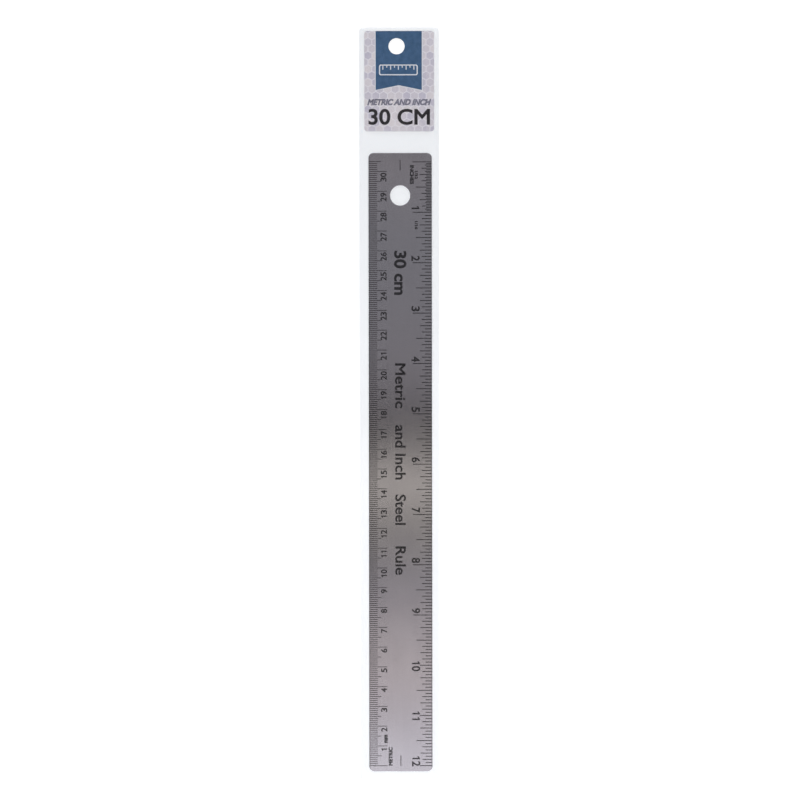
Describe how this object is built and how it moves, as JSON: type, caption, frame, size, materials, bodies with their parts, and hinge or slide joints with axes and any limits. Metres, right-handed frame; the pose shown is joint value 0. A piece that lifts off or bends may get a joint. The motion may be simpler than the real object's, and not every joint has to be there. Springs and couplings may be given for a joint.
{
  "type": "steel ruler",
  "caption": "Flat steel ruler with inch and centimetre scales and a hang hole, in a clear hang-sell sleeve with a printed header card.",
  "frame": {"origin": "on the surface the pack lies on, under the middle of the sleeve", "axes": "+Z out of the printed face, +Y along the ruler towards the header card and the sleeve's open mouth, +X towards the inch scale's edge"},
  "size_m": [0.0404, 0.38, 0.0021],
  "materials": {
    "clear_film": "clear gloss film",
    "satin_steel": "fine satin",
    "printed_card": "printed board, semi-matt",
    "scale_ink": "matt black etch fill on the blade",
    "card_ink": "printed ink on the card"
  },
  "bodies": {
    "sleeve": {"sleeve_back_film": "clear_film", "sleeve_front_film": "clear_film"},
    "ruler": {"ruler_blade": "satin_steel"},
    "header": {"header_card": "printed_card"}
  },
  "joints": [
    {"name": "ruler_slide", "type": "slide", "parent": "sleeve", "child": "ruler", "axis": [0, 1, 0], "range_m": [0, 0.38]},
    {"name": "card_slide", "type": "slide", "parent": "sleeve", "child": "header", "axis": [0, 1, 0], "range_m": [0, 0.056]}
  ]
}
